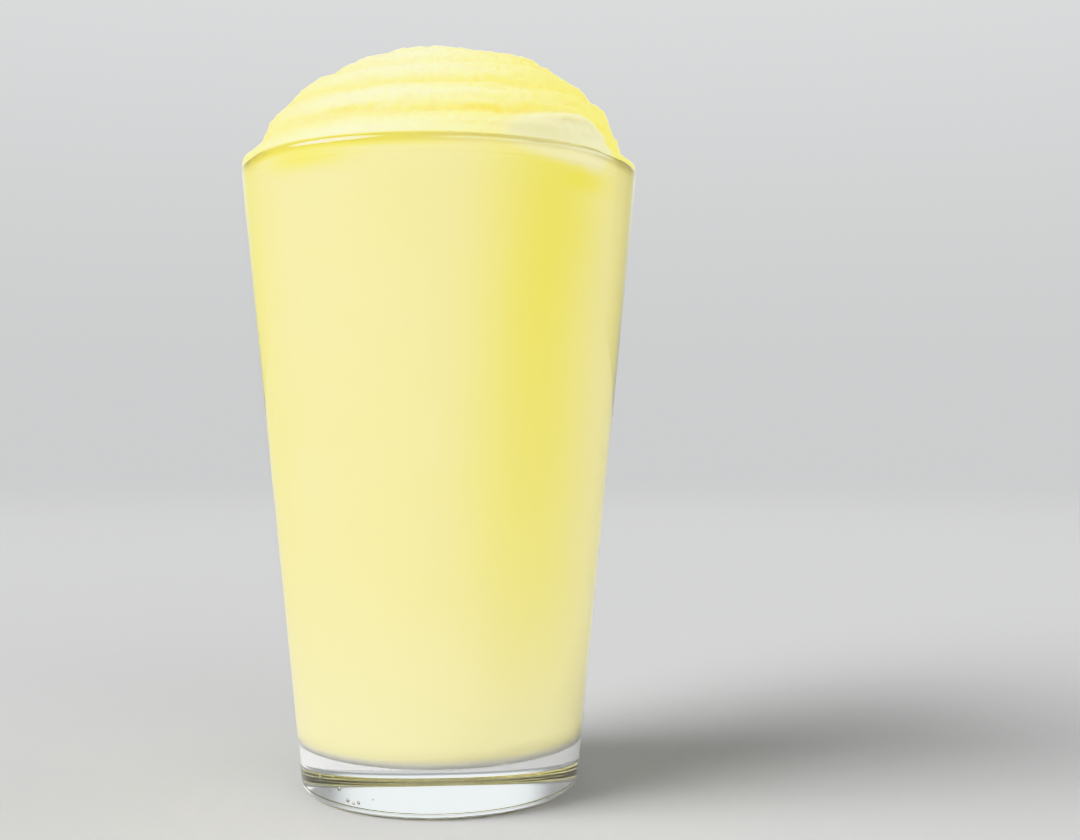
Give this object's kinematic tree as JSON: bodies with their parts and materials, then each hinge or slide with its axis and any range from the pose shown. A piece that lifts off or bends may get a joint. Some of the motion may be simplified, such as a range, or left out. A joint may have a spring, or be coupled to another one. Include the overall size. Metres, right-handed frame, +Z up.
{
  "type": "glass of frozen lemonade",
  "caption": "Straight-tapered clear drinking glass with a thick base, filled with smooth pale yellow frozen lemonade that is heaped above the rim in a soft swirl.",
  "frame": {"origin": "centre of the foot, on the glass's axis, in the plane it stands on", "axes": "+Z up along the glass's axis, -Y towards the viewer of the picture, +X to the viewer's right, so that the swirl's fold is at the front right"},
  "size_m": [0.0888, 0.0888, 0.167],
  "materials": {
    "glass": "clear, colourless, smooth pressed soda-lime glass",
    "lemonade": "opaque pale creamy yellow frozen drink, wet and smooth against the glass",
    "swirl_top": "pale creamy yellow frozen drink, satin, with a fine icy grain"
  },
  "bodies": {
    "root": {"glass": "glass", "lemonade": "lemonade", "swirl_top": "swirl_top"}
  },
  "joints": []
}
